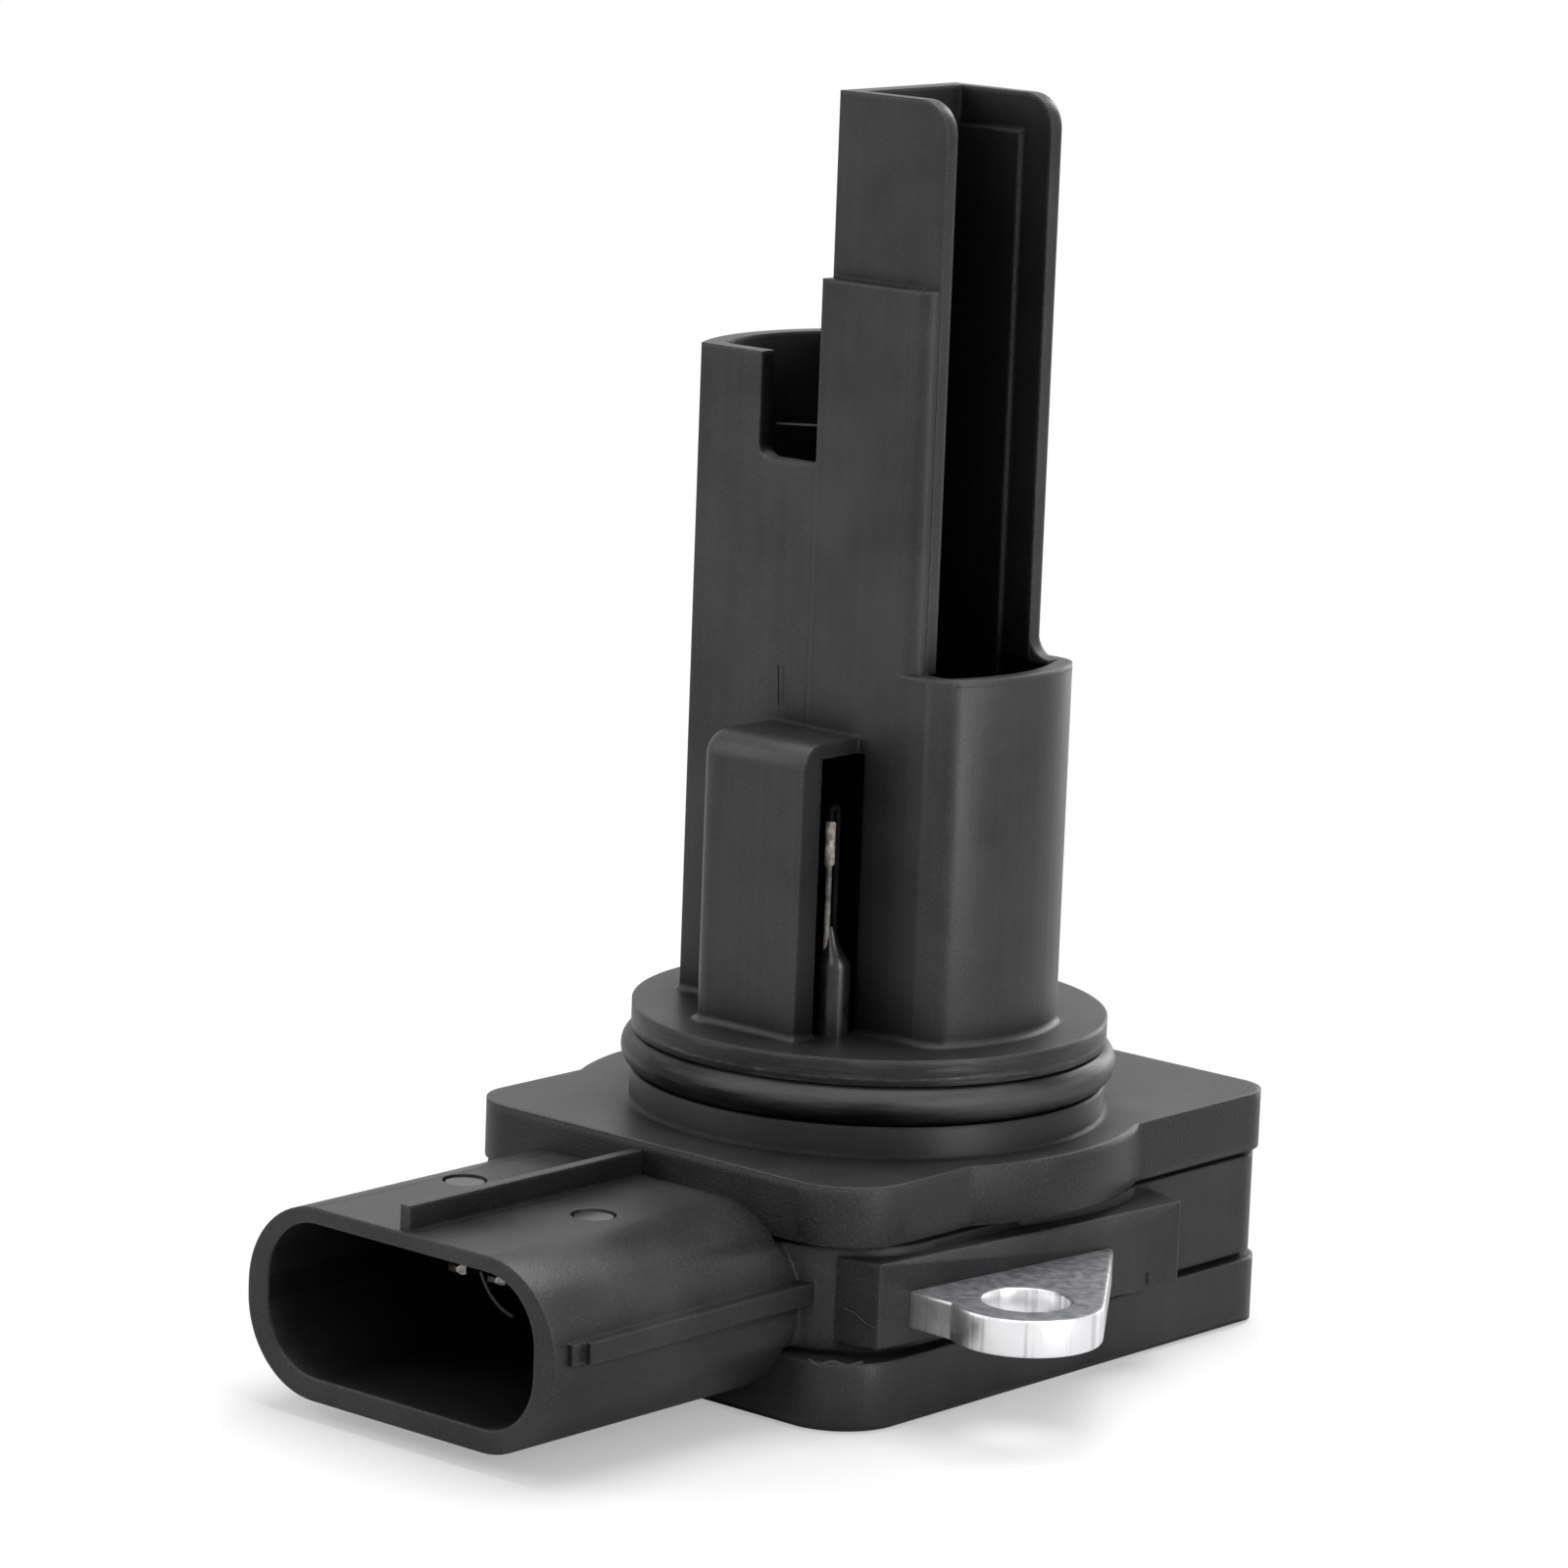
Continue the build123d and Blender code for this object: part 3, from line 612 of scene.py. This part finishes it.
sleeve_radius = (sleeve_high[1] - sleeve_low[1]) / 2
sleeve_taper = 2.0 * mm
sleeve_lean = -0.4 * mm
sleeve_shoulder = sleeve_high[2] - sleeve_taper
sleeve_profile = [
    (sleeve_radius, sleeve_low[2], 0.0),
    (sleeve_radius, sleeve_shoulder - 0.3 * mm, 0.0),
    (sleeve_radius * 0.93, sleeve_shoulder, 0.0),
    (sleeve_radius * 0.72, sleeve_shoulder + 0.4 * mm, 0.2),
    (sleeve_radius * 0.5, sleeve_shoulder + 0.9 * mm, 0.6),
    (sleeve_radius * 0.36, sleeve_high[2] - 0.3 * mm, 1.0),
    (sleeve_radius * 0.2, sleeve_high[2], 1.0),
]
sleeve_x = (sleeve_low[0] + sleeve_high[0]) / 2
sleeve_y = (sleeve_low[1] + sleeve_high[1]) / 2
sleeve_sides = 48
sleeve_turns = [2 * math.pi * side / sleeve_sides for side in range(sleeve_sides)]
sleeve_points = [
    (sleeve_x + lean * sleeve_lean + radius * math.cos(turn), sleeve_y + radius * math.sin(turn), height)
    for radius, height, lean in sleeve_profile
    for turn in sleeve_turns
]
sleeve_faces = [
    (
        level * sleeve_sides + side,
        level * sleeve_sides + (side + 1) % sleeve_sides,
        (level + 1) * sleeve_sides + (side + 1) % sleeve_sides,
        (level + 1) * sleeve_sides + side,
    )
    for level in range(len(sleeve_profile) - 1)
    for side in range(sleeve_sides)
]
sleeve_mesh = bpy.data.meshes.new("round_sleeve")
sleeve_mesh.from_pydata(sleeve_points, [], sleeve_faces)
sleeve_mesh.materials.append(sleeve_finish)
for face in sleeve_mesh.polygons:
    face.use_smooth = True
sleeve = bpy.data.objects.new("round_sleeve", sleeve_mesh)
bpy.context.scene.collection.objects.link(sleeve)
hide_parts("thermistor_sleeve")
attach(sleeve, "root")

# Studio floor. Pale sweep that keeps the soft shadow near the object and
# runs out to plain white.
floor_half = 3.0
bpy.ops.mesh.primitive_plane_add(size=2 * floor_half, location=(0, 0, 0))
floor = bpy.context.object
floor.name = "studio_floor"
floor_paint, floor_tree, floor_shader = finish_for("floor_white")
floor_shader.inputs["Roughness"].default_value = 0.6
glow = add_node(floor_tree, "ShaderNodeEmission")
glow.inputs["Strength"].default_value = 1.0
ray = add_node(floor_tree, "ShaderNodeLightPath")
floor_grey = between(floor_tree, ray.outputs["Is Glossy Ray"], 0.86, 0.6, start=0, end=1)
floor_tree.links.new(floor_grey, floor_shader.inputs["Base Color"])
seen = combined(floor_tree, "MAXIMUM", ray.outputs["Is Camera Ray"], ray.outputs["Is Transmission Ray"])
floor_place = add_node(floor_tree, "ShaderNodeTexCoord")
floor_reach = add_node(floor_tree, "ShaderNodeVectorMath", operation="LENGTH")
floor_tree.links.new(floor_place.outputs["Object"], floor_reach.inputs[0])
paleness = between(floor_tree, floor_reach.outputs["Value"], 0.35, 1.0, start=0.04, end=0.14)
blend = add_node(floor_tree, "ShaderNodeMixShader")
floor_tree.links.new(combined(floor_tree, "MULTIPLY", seen, paleness), blend.inputs[0])
floor_tree.links.new(floor_shader.outputs[0], blend.inputs[1])
floor_tree.links.new(glow.outputs[0], blend.inputs[2])
floor_tree.links.new(blend.outputs[0], floor_tree.nodes["Material Output"].inputs["Surface"])
floor.data.materials.append(floor_paint)

# Studio light. A broad soft box on the left, a small one in front, tall
# narrow ones on the right and at the back, and a top light, in a pale room.
pillar_middle = (0, 0, 0.035)


def soft_box(name, place, width, height, power):
    """Area lamp aimed at the middle of the pillar."""
    lamp = bpy.data.lights.new(name, "AREA")
    lamp.shape = "RECTANGLE"
    lamp.size = width
    lamp.size_y = height
    lamp.energy = power
    holder = bpy.data.objects.new(name, lamp)
    direction = Vector(pillar_middle) - Vector(place)
    holder.rotation_euler = direction.to_track_quat("-Z", "Y").to_euler()
    holder.location = place
    holder.visible_camera = False
    bpy.context.scene.collection.objects.link(holder)


soft_box("left_box", place=(-0.45, -0.5, 0.35), width=0.4, height=0.5, power=1.3)
soft_box("key_box", place=(0.17, -0.55, 0.48), width=0.3, height=0.3, power=0.7)
soft_box("right_box", place=(0.6, -0.04, 0.22), width=0.12, height=0.44, power=1.7)
soft_box("back_box", place=(-0.08, 0.6, 0.22), width=0.16, height=0.44, power=1.4)
soft_box("top_box", place=(0.0, 0.1, 0.7), width=0.5, height=0.5, power=3.6)
room = bpy.data.worlds.new("studio_room")
room.use_nodes = True
bpy.context.scene.world = room
room_tree = room.node_tree
room_glow = room_tree.nodes["Background"]
room_glow.inputs["Color"].default_value = (1, 1, 1, 1)
room_ray = add_node(room_tree, "ShaderNodeLightPath")
room_seen = combined(
    room_tree, "MAXIMUM", room_ray.outputs["Is Camera Ray"], room_ray.outputs["Is Transmission Ray"]
)
room_base = between(room_tree, room_seen, 0.42, 1.0, start=0, end=1)
room_shine = combined(room_tree, "MULTIPLY", room_ray.outputs["Is Glossy Ray"], 0.4)
room_tree.links.new(combined(room_tree, "ADD", room_base, room_shine), room_glow.inputs["Strength"])
bpy.context.scene.view_settings.view_transform = "Standard"
